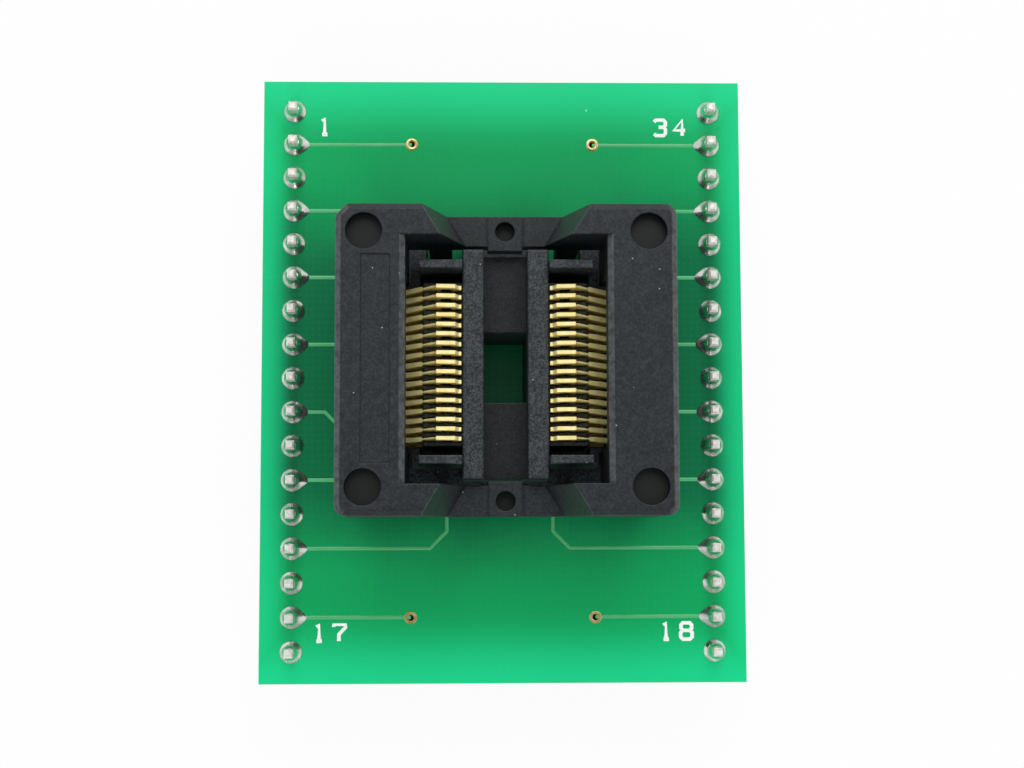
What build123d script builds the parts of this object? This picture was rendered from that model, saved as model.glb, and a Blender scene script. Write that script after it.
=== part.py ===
"""Test socket for a 34-lead package, on a board that plugs in by two rows of header pins.

Millimetres, +Z up, +Y along the pin rows. The origin is under the middle of the board, at the
level of the pin tips. A height or level of the socket is measured up from the board's top face,
and a distance out is measured from the socket's middle plane, the same to the left and right.
"""
import os
from math import cos, pi, radians, sin

from build123d import *

# Header pins, two rows
pin_count = 17
pin_pitch = 2.54
row_spacing = 31.4
pin_width = 0.64
pin_bevel = 0.14
leg_length = 6.0
pin_stub = 2.0

# Plastic strips that carry the pins
strip_width = 2.5
strip_height = 2.54
strip_notch = 0.45

# Circuit board
board_width = 36.1
board_length = 45.3
board_thickness = 1.6
via_out = 6.85
via_along = 17.82
via_hole = 0.45
via_ring = 0.95
plating = 0.04

# Rounds of about a millimetre or less are drawn with flats
small_round_sides = 8

# Solder
solder_foot = 1.8
solder_height = 1.25
solder_collar = 0.12
solder_rim = 0.1
solder_sides = 8
tail_solder_foot = 1.05
tail_solder_height = 0.4

# Contacts, blanked from strip
contact_count = 17
contact_pitch = 0.65
sheet = 0.28
slot_clearance = 0.04

# Pivot of the moving arm, and the cup round it with its ends in degrees
pivot_out = 4.7
pivot_height = 7.6
hub_radius = 0.4
hub_clearance = 0.05
cup_wall = 0.4
cup_start = 165
cup_end = 295

# Moving arm, measured from its pivot
tip_rise = 3.6
tip_depth = 0.25
tip_flat = 0.17
beak_bend = 0.24
beak_fall = 0.2
peak_out = 0.05
peak_rise = 4.6
peak_depth = 0.85
limb_out = 0.6
shoulder_reach = 2.15
shoulder_rise = 1.5
elbow_reach = 0.9
elbow_drop = 0.69
lever_reach = 5.45
lever_drop = 0.9
lever_depth = 1.25
lever_crest_reach = 3.4
lever_neck_reach = 4.9
lever_neck_depth = 0.46
nose_radius = 0.35

# Fixed stem
lead_gap = 0.15
seat_width = 0.7
seat_depth = 0.5
seat_bevel = 0.1
post_inset = 0.3
post_width = 0.45
neck_offset = 0.05
neck_width = 0.7
neck_foot = 0.5
plate_height = 3.0
plate_inset = 0.3
plate_overhang = 0.3
tail_width = 0.4
tail_inner_out = 5.5
tail_outer_out = 7.0
tail_stub = 0.9

# Socket base
flange_out = 11.0
flange_along = 9.9
flange_height = 3.4
flange_corner = 0.8
foot_height = 0.25
foot_size = 2.2
core_along = 7.9
rail_in = 1.5
rail_out = 2.98
rail_height = 11.1
rail_bevel = 0.08
tip_clearance = 0.07
trough_height = 7.9
well_along = 2.48
comb_out = 5.75
comb_height = 10.4
comb_shoulder_out = 5.6
comb_shoulder_height = 10.2
end_plate_along = 6.38
end_plate_thickness = 0.58
end_plate_out = 5.95
end_plate_height = 12.6
corner_post_out = 6.6
corner_post_height = 8.0
peg_diameter = 1.4
peg_out = 8.7
peg_along = 6.2
peg_clearance = 0.05

# Springs under the cover
spring_diameter = 2.3
wire_diameter = 0.32
spring_turns = 5
runs_per_turn = 8
spring_top = 12.6
spring_clearance = 0.2
spring_post = 1.3
spring_post_height = 1.2

# Socket cover
cover_width = 23.0
cover_length = 21.0
cover_height = 14.6
cover_travel = 2.0
cover_corner = 0.8
cover_bevel = 0.4
window_out = 6.8
window_along = 8.35
window_bevel = 0.4
skirt_gap = 0.4
skirt_thickness = 0.65
pad_inner_out = 9.2
pad_clearance = 0.05
bar_roof_height = 12.6
bar_end_gap = 1.1
bar_end_along = 5.95
web_top = 9.4
web_bottom = 8.0
notch_inner_half = 2.7
notch_outer_half = 4.05
notch_lean = 1.75
key_half = 1.22
key_reach = 0.3
key_groove = 0.1
key_hole = 1.35
key_hole_depth = 1.0
corner_inset = 1.92
dimple_diameter = 2.45
dimple_depth = 0.8
label_recess_width = 1.9
label_recess_length = 14.0
label_recess_depth = 0.12
label_recess_inset = 2.7

# Snap hooks that hold the cover down
hook_leg_in = 3.75
hook_leg_out = 5.4
hook_leg_along = 8.6
hook_leg_thickness = 0.85
hook_catch = 0.3
hook_depth = 0.6
hook_clearance = 0.05
hook_slot_in = 3.0
hook_slot_margin = 0.2

# Levels and places worked out from the sizes above
corner_out = cover_width / 2 - corner_inset
corner_along = cover_length / 2 - corner_inset
board_bottom = leg_length + strip_height
board_top = board_bottom + board_thickness
pin_length = board_top + pin_stub
arm_tip_out = rail_out + tip_clearance
slot_width = sheet + 2 * slot_clearance
nose_height = pivot_height - lever_drop
pad_height = nose_height + nose_radius + pad_clearance
plate_out = tail_outer_out + plate_overhang
slot_out = plate_out + slot_clearance
seat_height = pivot_height + tip_rise - tip_depth - lead_gap
comb_along = (contact_count - 1) / 2 * contact_pitch + contact_pitch - slot_width / 2
hook_level = flange_height - hook_depth
skirt_height = flange_height + cover_travel + skirt_gap
bar_end_height = flange_height + cover_travel + bar_end_gap
cut = 1.0


def above_board(height):
    """Level of a height that is measured from the board's top face."""
    return board_top + height


def row_places(count, pitch):
    """Places along Y of a row, from its +Y end."""
    return [((count - 1) / 2 - k) * pitch for k in range(count)]


def pin_spots(side):
    """Plan places of one row of header pins."""
    return [(side * row_spacing / 2, y) for y in row_places(pin_count, pin_pitch)]


def tail_spots(side):
    """Plan places of one row of contact tails, staggered in two lines."""
    lines = (tail_inner_out, tail_outer_out)
    return [(side * lines[k % 2], y)
            for k, y in enumerate(row_places(contact_count, contact_pitch))]


def corner_spots(out, along):
    """Four plan places, one in each quarter."""
    return [(x, y) for x in (-out, out) for y in (-along, along)]


def peg_spots():
    """Plan places of the two locating pegs, at opposite corners."""
    return [(-peg_out, peg_along), (peg_out, -peg_along)]


def keep(builder, label):
    """Names a finished piece and writes it to its own file."""
    builder.part.label = label
    export_step(builder.part, f"parts/{label}.step")


def make_board():
    """Board with vias, peg holes, and plated holes that solder fills up to each pin and tail."""
    with BuildPart() as board:
        with BuildSketch(Plane.XY.offset(board_bottom)):
            Rectangle(board_width, board_length)
            with Locations(*pin_spots(-1), *pin_spots(1)):
                Rectangle(pin_width, pin_width, mode=Mode.SUBTRACT)
            with Locations(*tail_spots(-1), *tail_spots(1)):
                Rectangle(tail_width, sheet, mode=Mode.SUBTRACT)
            with Locations(*corner_spots(via_out, via_along)):
                RegularPolygon(via_ring / 2, small_round_sides, mode=Mode.SUBTRACT)
            with Locations(*peg_spots()):
                RegularPolygon(peg_diameter / 2 + peg_clearance, small_round_sides,
                               mode=Mode.SUBTRACT)
        extrude(amount=board_thickness)
    return board


def make_vias():
    """Plated tubes through the board, each a little proud of both its faces."""
    with BuildPart() as vias:
        with BuildSketch(Plane.XY.offset(board_bottom - plating)):
            with Locations(*corner_spots(via_out, via_along)):
                RegularPolygon(via_ring / 2, small_round_sides)
                RegularPolygon(via_hole / 2, small_round_sides, mode=Mode.SUBTRACT)
        extrude(amount=board_thickness + 2 * plating)
    return vias


def make_strip(side):
    """Strip of a header row: one notched block for each pin."""
    half_width = strip_width / 2
    half_pitch = pin_pitch / 2
    with BuildPart() as strip:
        with BuildSketch(Plane.XY.offset(leg_length)):
            with Locations(*pin_spots(side)):
                Polygon(
                    (half_width, half_pitch - strip_notch),
                    (half_width - strip_notch, half_pitch),
                    (strip_notch - half_width, half_pitch),
                    (-half_width, half_pitch - strip_notch),
                    (-half_width, strip_notch - half_pitch),
                    (strip_notch - half_width, -half_pitch),
                    (half_width - strip_notch, -half_pitch),
                    (half_width, strip_notch - half_pitch),
                    align=None,
                )
                Rectangle(pin_width, pin_width, mode=Mode.SUBTRACT)
        extrude(amount=strip_height)
    return strip


def make_pins(side):
    """Row of square pins with bevelled ends."""
    with BuildPart() as pins:
        with BuildSketch():
            with Locations(*pin_spots(side)):
                Rectangle(pin_width, pin_width)
        extrude(amount=pin_length)
        chamfer(pins.faces().filter_by(Axis.Z).edges(), length=pin_bevel)
    return pins


def make_pin_solder(side):
    """Cones of solder round the pins, each on the board's top face."""
    slope_run = solder_foot / 2 - pin_width / 2 - solder_collar
    with BuildPart() as solder:
        with BuildSketch(Plane.XY.offset(board_top)):
            with Locations(*pin_spots(side)):
                RegularPolygon(solder_foot / 2, solder_sides, major_radius=False)
        extrude(amount=solder_height)
        tops = solder.faces().filter_by(Axis.Z).group_by(Axis.Z)[-1]
        chamfer(tops.edges(), length=solder_height - solder_rim, length2=slope_run)
        with BuildSketch(Plane.XY.offset(board_top)):
            with Locations(*pin_spots(side)):
                Rectangle(pin_width, pin_width)
        extrude(amount=solder_height, mode=Mode.SUBTRACT)
    return solder


def make_tail_solder(side):
    """Small pads of solder round the contact tails, under the board."""
    with BuildPart() as solder:
        with BuildSketch(Plane.XY.offset(board_bottom)):
            with Locations(*tail_spots(side)):
                Rectangle(tail_solder_foot, tail_solder_foot)
        extrude(amount=-tail_solder_height)
        lows = solder.faces().filter_by(Axis.Z).group_by(Axis.Z)[0]
        chamfer(lows.edges(), length=tail_solder_height - solder_rim)
        with BuildSketch(Plane.XY.offset(board_bottom)):
            with Locations(*tail_spots(side)):
                Rectangle(tail_width, sheet)
        extrude(amount=-tail_solder_height, mode=Mode.SUBTRACT)
    return solder


def contact_planes(side):
    """Middle plane of each contact of a row: its x is outwards and its y is up."""
    return [Plane(origin=(0, y, board_top), x_dir=(side, 0, 0), z_dir=(0, -side, 0))
            for y in row_places(contact_count, contact_pitch)]


def pivot_point(out, up):
    """Point of the arm, given outwards and upwards from its pivot."""
    return (pivot_out + out, pivot_height + up)


def draw_arm():
    """Outline of a moving arm: beak over the lead, limb to the hub, lever to the nose."""
    beak_in = arm_tip_out - pivot_out
    underside = -lever_drop - nose_radius
    Polygon(
        pivot_point(beak_in, tip_rise - tip_depth),
        pivot_point(-hub_radius, peak_rise - peak_depth),
        pivot_point(0, peak_rise - 2 * peak_depth),
        pivot_point(-hub_radius, 0),
        pivot_point(hub_radius, 0),
        pivot_point(elbow_reach, -elbow_drop),
        pivot_point(lever_reach, underside),
        pivot_point(lever_reach, underside + nose_radius),
        pivot_point(lever_neck_reach, underside + lever_neck_depth),
        pivot_point(lever_crest_reach, underside + lever_depth),
        pivot_point(shoulder_reach, shoulder_rise),
        pivot_point(limb_out, peak_rise - peak_depth),
        pivot_point(peak_out, peak_rise),
        pivot_point(beak_in + tip_flat + beak_bend, peak_rise - beak_fall),
        pivot_point(beak_in + tip_flat, tip_rise),
        pivot_point(beak_in, tip_rise),
        align=None,
    )
    with Locations(pivot_point(0, 0)):
        Circle(hub_radius)
    with Locations(pivot_point(lever_reach, -lever_drop)):
        RegularPolygon(nose_radius, small_round_sides, rotation=90 / small_round_sides)


def make_arms(side):
    """Row of moving contact arms, each hanging on its own hub."""
    with BuildPart() as arms:
        with BuildSketch(*contact_planes(side)):
            draw_arm()
        extrude(amount=sheet / 2, both=True)
    return arms


def draw_cup():
    """Open cup that holds the arm's hub from inside and below."""
    outer = hub_radius + hub_clearance + cup_wall
    with Locations(pivot_point(0, 0)):
        RegularPolygon(outer, small_round_sides)
    quarter = (cup_start - cup_end + 360) / 4
    mouth = [cup_start - quarter * step for step in range(5)]
    reach = 2 * outer
    Polygon(
        pivot_point(0, 0),
        *[pivot_point(reach * cos(radians(a)), reach * sin(radians(a))) for a in mouth],
        align=None,
        mode=Mode.SUBTRACT,
    )


def draw_stem(tail_out):
    """Outline of a fixed stem: lead seat, post, neck and cup, body plate and tail."""
    seat_in = arm_tip_out
    seat_out = seat_in + seat_width
    seat_bottom = seat_height - seat_depth
    post_in = seat_in + post_inset
    neck_out = pivot_out + neck_offset
    neck_in = neck_out - neck_width
    neck_bottom = plate_height + neck_foot
    draw_cup()
    Polygon(
        (seat_in, seat_bottom),
        (post_in, seat_bottom),
        (post_in, 0),
        (tail_out - tail_width / 2, 0),
        (tail_out - tail_width / 2, -board_thickness - tail_stub),
        (tail_out + tail_width / 2, -board_thickness - tail_stub),
        (tail_out + tail_width / 2, 0),
        (plate_out, 0),
        (plate_out, plate_height),
        (neck_out + plate_inset, plate_height),
        (neck_out, neck_bottom),
        (neck_out, pivot_height - hub_radius),
        (neck_in, pivot_height - hub_radius),
        (neck_in, neck_bottom),
        (post_in + post_width, plate_height),
        (seat_out, seat_bottom),
        (seat_out, seat_height - seat_bevel),
        (seat_out - seat_bevel, seat_height),
        (seat_in, seat_height),
        align=None,
    )
    with Locations(pivot_point(0, 0)):
        Circle(hub_radius + hub_clearance, mode=Mode.SUBTRACT)


def make_stems(side):
    """Row of fixed contact stems, with tails in two staggered lines."""
    planes = contact_planes(side)
    with BuildPart() as stems:
        with BuildSketch(*planes[0::2]):
            draw_stem(tail_inner_out)
        extrude(amount=sheet / 2, both=True)
        with BuildSketch(*planes[1::2]):
            draw_stem(tail_outer_out)
        extrude(amount=sheet / 2, both=True)
    return stems


def add_upright(low, high, shapes, mode=Mode.ADD):
    """Adds or cuts boxes between two heights above the board.

    Each shape is (x from, x to, y from, y to), and is repeated in all four quarters.
    """
    with BuildSketch(Plane.XY.offset(above_board(low))) as plan:
        for x0, x1, y0, y1 in shapes:
            with Locations(*corner_spots((x0 + x1) / 2, (y0 + y1) / 2)):
                Rectangle(x1 - x0, y1 - y0)
    extrude(plan.sketch, amount=high - low, mode=mode)


def make_base():
    """Base moulding: flange, core with rails and trough, contact combs and end plates."""
    slot_rows = row_places(contact_count, contact_pitch)
    wall = end_plate_along + end_plate_thickness
    with BuildPart() as base:
        with BuildSketch(Plane.XY.offset(above_board(foot_height))):
            RectangleRounded(2 * flange_out, 2 * flange_along, flange_corner)
        extrude(amount=flange_height - foot_height)
        with BuildSketch(Plane.XY.offset(board_top)):
            with Locations(*corner_spots(flange_out - foot_size, flange_along - foot_size)):
                Rectangle(foot_size, foot_size)
        extrude(amount=foot_height)
        with BuildSketch(Plane.XY.offset(board_bottom)):
            with Locations(*peg_spots()):
                RegularPolygon(peg_diameter / 2, small_round_sides)
        extrude(amount=board_thickness + foot_height)

        add_upright(flange_height, trough_height, [(0, rail_out, 0, core_along)])
        add_upright(trough_height, rail_height, [(rail_in, rail_out, 0, core_along)])
        rail_tops = base.faces().filter_by(Axis.Z).sort_by(Axis.Z)[-2:]
        chamfer(rail_tops.edges(), length=rail_bevel)
        add_upright(flange_height, end_plate_height,
                    [(rail_out, end_plate_out, end_plate_along, wall)])
        add_upright(flange_height, corner_post_height,
                    [(end_plate_out, corner_post_out, comb_along, wall)])

        with BuildSketch(Plane.XZ):
            with BuildLine():
                Polyline(
                    (rail_out, above_board(flange_height)),
                    (rail_out, above_board(comb_height)),
                    (comb_shoulder_out, above_board(comb_height)),
                    (comb_out, above_board(comb_shoulder_height)),
                    (comb_out, above_board(flange_height)),
                    close=True,
                )
            make_face()
            mirror(about=Plane.YZ)
        extrude(amount=comb_along, both=True)

        with Locations(*[(spot[0], spot[1], above_board(flange_height))
                         for spot in corner_spots(corner_out, corner_along)]):
            Cylinder(spring_post / 2, spring_post_height,
                     align=(Align.CENTER, Align.CENTER, Align.MIN))

        add_upright(-cut, trough_height + cut, [(0, rail_in, 0, well_along)], Mode.SUBTRACT)
        with BuildSketch(Plane.XY.offset(board_top)):
            for side in (-1, 1):
                with Locations(*[(side * (rail_out + slot_out) / 2, y) for y in slot_rows]):
                    Rectangle(slot_out - rail_out, slot_width)
        extrude(amount=comb_height + cut, mode=Mode.SUBTRACT)

        slot_far = hook_leg_along + hook_leg_thickness + hook_slot_margin
        slot_edge = hook_leg_out + hook_slot_margin
        slot_near = hook_leg_along - hook_slot_margin
        add_upright(0, flange_height + cut,
                    [(hook_slot_in, slot_edge, slot_near, slot_far)], Mode.SUBTRACT)
        add_upright(0, hook_level,
                    [(hook_slot_in, slot_edge, slot_near, flange_along + cut)], Mode.SUBTRACT)
    return base


def cut_end_notches():
    """Cuts the funnel-shaped notch in both end walls of the cover: a floor and two leaning sides."""
    wall = cover_length / 2 - window_along
    spread = notch_outer_half - notch_inner_half
    start = window_along - cut
    start_half = notch_inner_half - spread * cut / wall
    lean = notch_lean / (cover_height - web_top)
    rise = cover_height + cut - web_top
    for side in (-1, 1):
        face = Plane(origin=(0, side * start, board_top), x_dir=(1, 0, 0), z_dir=(0, -1, 0))
        for hand in (-1, 1):
            with BuildSketch(face) as section:
                Polygon(
                    (-hand * start_half, web_top),
                    (hand * start_half, web_top),
                    (hand * (start_half + lean * rise), cover_height + cut),
                    (-hand * start_half, cover_height + cut),
                    align=None,
                )
            course = Vector(hand * spread, side * wall, 0)
            extrude(section.sketch, amount=course.length * (1 + 2 * cut / wall),
                    dir=course.normalized(), mode=Mode.SUBTRACT)


def make_cover():
    """Sprung cover: two side bars over the levers, joined by notched end walls."""
    half_width = cover_width / 2
    half_length = cover_length / 2
    with BuildPart() as cover:
        with BuildSketch(Plane.XY.offset(above_board(skirt_height))) as outline:
            Rectangle(cover_width, cover_length)
            marked = outline.vertices().group_by(Axis.X)[0].sort_by(Axis.Y)[-1]
            others = [v for v in outline.vertices() if v != marked]
            chamfer(marked, length=cover_corner)
            fillet(others, radius=cover_corner)
        extrude(amount=cover_height - skirt_height)
        chamfer(cover.faces().sort_by(Axis.Z)[-1].edges(), length=cover_bevel)
        add_upright(skirt_height - cut, cover_height + cut,
                    [(0, window_out, 0, window_along)], Mode.SUBTRACT)
        window_edges = cover.edges().filter_by(Axis.Y).group_by(Axis.Z)[-1]
        chamfer([e for e in window_edges if abs(e.center().X) < window_out + cut],
                length=window_bevel)
        cut_end_notches()

        # Undersides: end walls, ends of the side bars, cam pads and lever space
        add_upright(skirt_height - cut, web_bottom,
                    [(0, window_out, window_along - cut, half_length + cut)], Mode.SUBTRACT)
        add_upright(skirt_height - cut, bar_end_height,
                    [(window_out - cut, half_width + cut, bar_end_along, half_length + cut)],
                    Mode.SUBTRACT)
        add_upright(skirt_height - cut, bar_roof_height,
                    [(window_out - cut, pad_inner_out, 0, bar_end_along)], Mode.SUBTRACT)
        add_upright(skirt_height - cut, pad_height,
                    [(pad_inner_out - cut, half_width - skirt_thickness, 0, bar_end_along)],
                    Mode.SUBTRACT)

        # Keys in the end walls, each with a thin groove along its sides and a blind hole
        add_upright(web_bottom, web_top,
                    [(0, key_half, window_along - key_reach, window_along)])
        add_upright(web_top - key_groove, web_top,
                    [(key_half, key_half + key_groove, window_along - cut, half_length + cut)],
                    Mode.SUBTRACT)
        key_middle = (window_along + half_length) / 2
        with BuildSketch(Plane.XY.offset(above_board(web_top))):
            with Locations((0, key_middle), (0, -key_middle)):
                Circle(key_hole / 2)
        extrude(amount=-key_hole_depth, mode=Mode.SUBTRACT)

        # Spring pockets from below, dimples and a bare label recess from above
        with BuildSketch(Plane.XY.offset(above_board(spring_top))):
            with Locations(*corner_spots(corner_out, corner_along)):
                Circle(spring_diameter / 2 + spring_clearance)
        extrude(amount=skirt_height - cut - spring_top, mode=Mode.SUBTRACT)
        with BuildSketch(Plane.XY.offset(above_board(cover_height))):
            with Locations(*corner_spots(corner_out, corner_along)):
                Circle(dimple_diameter / 2)
        extrude(amount=-dimple_depth, mode=Mode.SUBTRACT)
        with BuildSketch(Plane.XY.offset(above_board(cover_height))):
            with Locations((label_recess_inset - half_width, 0)):
                Rectangle(label_recess_width, label_recess_length)
        extrude(amount=-label_recess_depth, mode=Mode.SUBTRACT)

        # Snap hooks: legs down from the end walls, each with a catch that points outwards
        hook_top = hook_level - hook_clearance
        leg_far = hook_leg_along + hook_leg_thickness
        hook_bottom = hook_top - hook_depth
        add_upright(hook_bottom, web_bottom,
                    [(hook_leg_in, hook_leg_out, hook_leg_along, leg_far)])
        add_upright(hook_bottom, hook_top,
                    [(hook_leg_in, hook_leg_out, leg_far, leg_far + hook_catch)])
    return cover


def make_spring(x, y):
    """Coil spring from its seat on the flange up to the roof of its pocket.

    Each turn of the wire is a run of short straight lengths.
    """
    radius = (spring_diameter - wire_diameter) / 2
    bottom = above_board(flange_height) + wire_diameter / 2
    rise = spring_top - flange_height - wire_diameter
    runs = spring_turns * runs_per_turn
    points = [
        (x + radius * cos(2 * pi * k / runs_per_turn),
         y + radius * sin(2 * pi * k / runs_per_turn),
         bottom + rise * k / runs)
        for k in range(runs + 1)
    ]
    with BuildPart() as spring:
        with BuildLine() as coil:
            Polyline(*points)
        with BuildSketch(Plane(origin=coil.line @ 0, x_dir=(1, 0, 0), z_dir=coil.line % 0)):
            RegularPolygon(wire_diameter / 2, 4)
        sweep(transition=Transition.RIGHT)
    return spring


os.makedirs("parts", exist_ok=True)
keep(make_board(), "circuit_board")
keep(make_vias(), "via_eyelets")
for side, side_name in ((-1, "left"), (1, "right")):
    keep(make_strip(side), f"header_strip_{side_name}")
    keep(make_pins(side), f"header_pins_{side_name}")
    keep(make_pin_solder(side), f"pin_solder_{side_name}")
    keep(make_stems(side), f"contact_stems_{side_name}")
    keep(make_tail_solder(side), f"tail_solder_{side_name}")
    keep(make_arms(side), f"contact_arms_{side_name}")
keep(make_base(), "socket_base")
keep(make_cover(), "socket_cover")
for (x, y), corner in zip(corner_spots(corner_out, corner_along),
                          ("front_left", "back_left", "front_right", "back_right")):
    keep(make_spring(x, y), f"spring_{corner}")
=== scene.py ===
"""Looks of a test socket adapter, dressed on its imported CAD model.

The adapter is a green circuit board on two rows of header pins. A black socket stands on it, and
its sprung cover opens two rows of gold contacts when it is pressed down. Sizes are written in
millimetres and turned into Blender's metres where a mesh is made. Heights of the board's and the
socket's pieces are levels above the floor that the pins stand on.
"""
import logging
import math
import random
from collections.abc import Callable, Iterable, Sequence
from dataclasses import dataclass
from enum import Enum

import bmesh
import bpy
from bmesh.types import BMesh, BMFace, BMLayerItem
from bpy.types import ID, Material, Mesh, Node, NodeSocket, NodeTree, Object
from mathutils import Matrix, Vector


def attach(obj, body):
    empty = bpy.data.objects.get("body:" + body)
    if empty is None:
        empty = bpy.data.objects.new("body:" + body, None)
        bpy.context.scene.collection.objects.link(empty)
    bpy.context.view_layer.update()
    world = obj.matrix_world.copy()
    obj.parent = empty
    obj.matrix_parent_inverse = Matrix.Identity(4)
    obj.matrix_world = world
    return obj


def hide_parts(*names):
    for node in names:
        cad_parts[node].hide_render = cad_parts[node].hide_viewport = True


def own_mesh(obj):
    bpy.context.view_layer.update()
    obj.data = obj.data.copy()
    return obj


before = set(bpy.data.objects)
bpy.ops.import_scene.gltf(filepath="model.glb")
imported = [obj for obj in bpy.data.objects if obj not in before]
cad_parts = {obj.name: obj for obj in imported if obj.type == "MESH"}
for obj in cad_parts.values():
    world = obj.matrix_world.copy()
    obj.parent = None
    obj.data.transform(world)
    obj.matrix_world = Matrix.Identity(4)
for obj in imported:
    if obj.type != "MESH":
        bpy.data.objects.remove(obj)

LOG = logging.getLogger("socket_adapter")
MM = 0.001
SAME_POINT = 0.0002 * MM
UP = Vector((0, 0, 1))
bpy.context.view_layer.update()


class Side(Enum):
    """One of the adapter's two halves, with the sign of its x."""

    LEFT = -1
    RIGHT = 1

    @property
    def word(self) -> str:
        """The side's name as the CAD nodes write it."""
        return self.name.lower()


def linear(code: str) -> tuple[float, float, float, float]:
    """Turns an sRGB hex colour into Blender's linear one.

    Args:
        code: Six hex digits, with or without a leading hash.

    Returns:
        Red, green, blue and an alpha of 1.
    """
    parts = [int(code.lstrip("#")[k:k + 2], 16) / 255 for k in (0, 2, 4)]
    red, green, blue = (c / 12.92 if c <= 0.04045 else ((c + 0.055) / 1.055) ** 2.4 for c in parts)
    return (red, green, blue, 1.0)


def add_node(tree: NodeTree, kind: str, inputs: dict | None = None, **settings: object) -> Node:
    """Adds a shader node with its settings, and fills or links its inputs.

    Args:
        tree: Node tree of a material or of the world.
        kind: Name of the node type, without the ShaderNode that Blender puts before it.
        inputs: For each input, by name or number: a value, an output of another node, or
            another node, which stands for its first output.
        settings: Options of the node by attribute name.

    Returns:
        The new node.
    """
    node = tree.nodes.new(f"ShaderNode{kind}")
    for option, value in settings.items():
        setattr(node, option, value)
    for place, value in (inputs or {}).items():
        if isinstance(value, Node):
            value = value.outputs[0]
        if isinstance(value, NodeSocket):
            tree.links.new(value, node.inputs[place])
        else:
            node.inputs[place].default_value = value
    return node


def per_mm(size: float) -> float:
    """Scale of a texture on metres whose features are this many millimetres across."""
    return 1 / (size * MM)


@dataclass(frozen=True)
class Finish:
    """A surface finish: a named material made of nodes and shared by its pieces."""

    name: str

    def shade(self, tree: NodeTree) -> Node:
        """Builds the shader node in the tree and returns it."""
        raise NotImplementedError

    def material(self) -> Material:
        """Returns the finish's material, which is built the first time it is asked for."""
        found = bpy.data.materials.get(self.name)
        if found is not None:
            return found
        made = bpy.data.materials.new(self.name)
        made.use_nodes = True
        made.node_tree.nodes.clear()
        shader = self.shade(made.node_tree)
        add_node(made.node_tree, "OutputMaterial", {"Surface": shader})
        return made


def dust_on(tree: NodeTree, place: NodeSocket, spacing: float, speck: float, share: float) -> Node:
    """Scatters small specks of dust, one in some of the cells of a grid.

    Args:
        tree: Node tree of the material.
        place: Object coordinates.
        spacing: Cell size in millimetres.
        speck: Radius of a speck in millimetres.
        share: Share of the cells that hold a speck, from 0 to 1.

    Returns:
        A node whose factor is 1 on a speck and 0 elsewhere.
    """
    cells = add_node(tree, "TexVoronoi", {"Vector": place, "Scale": per_mm(spacing)})
    inside = add_node(tree, "Math", {0: cells.outputs["Distance"], 1: speck / spacing},
                      operation="LESS_THAN")
    pick = add_node(tree, "SeparateColor", {"Color": cells.outputs["Color"]})
    chosen = add_node(tree, "Math", {0: pick.outputs["Red"], 1: share}, operation="LESS_THAN")
    return add_node(tree, "Math", {0: inside, 1: chosen}, operation="MULTIPLY")


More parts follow.
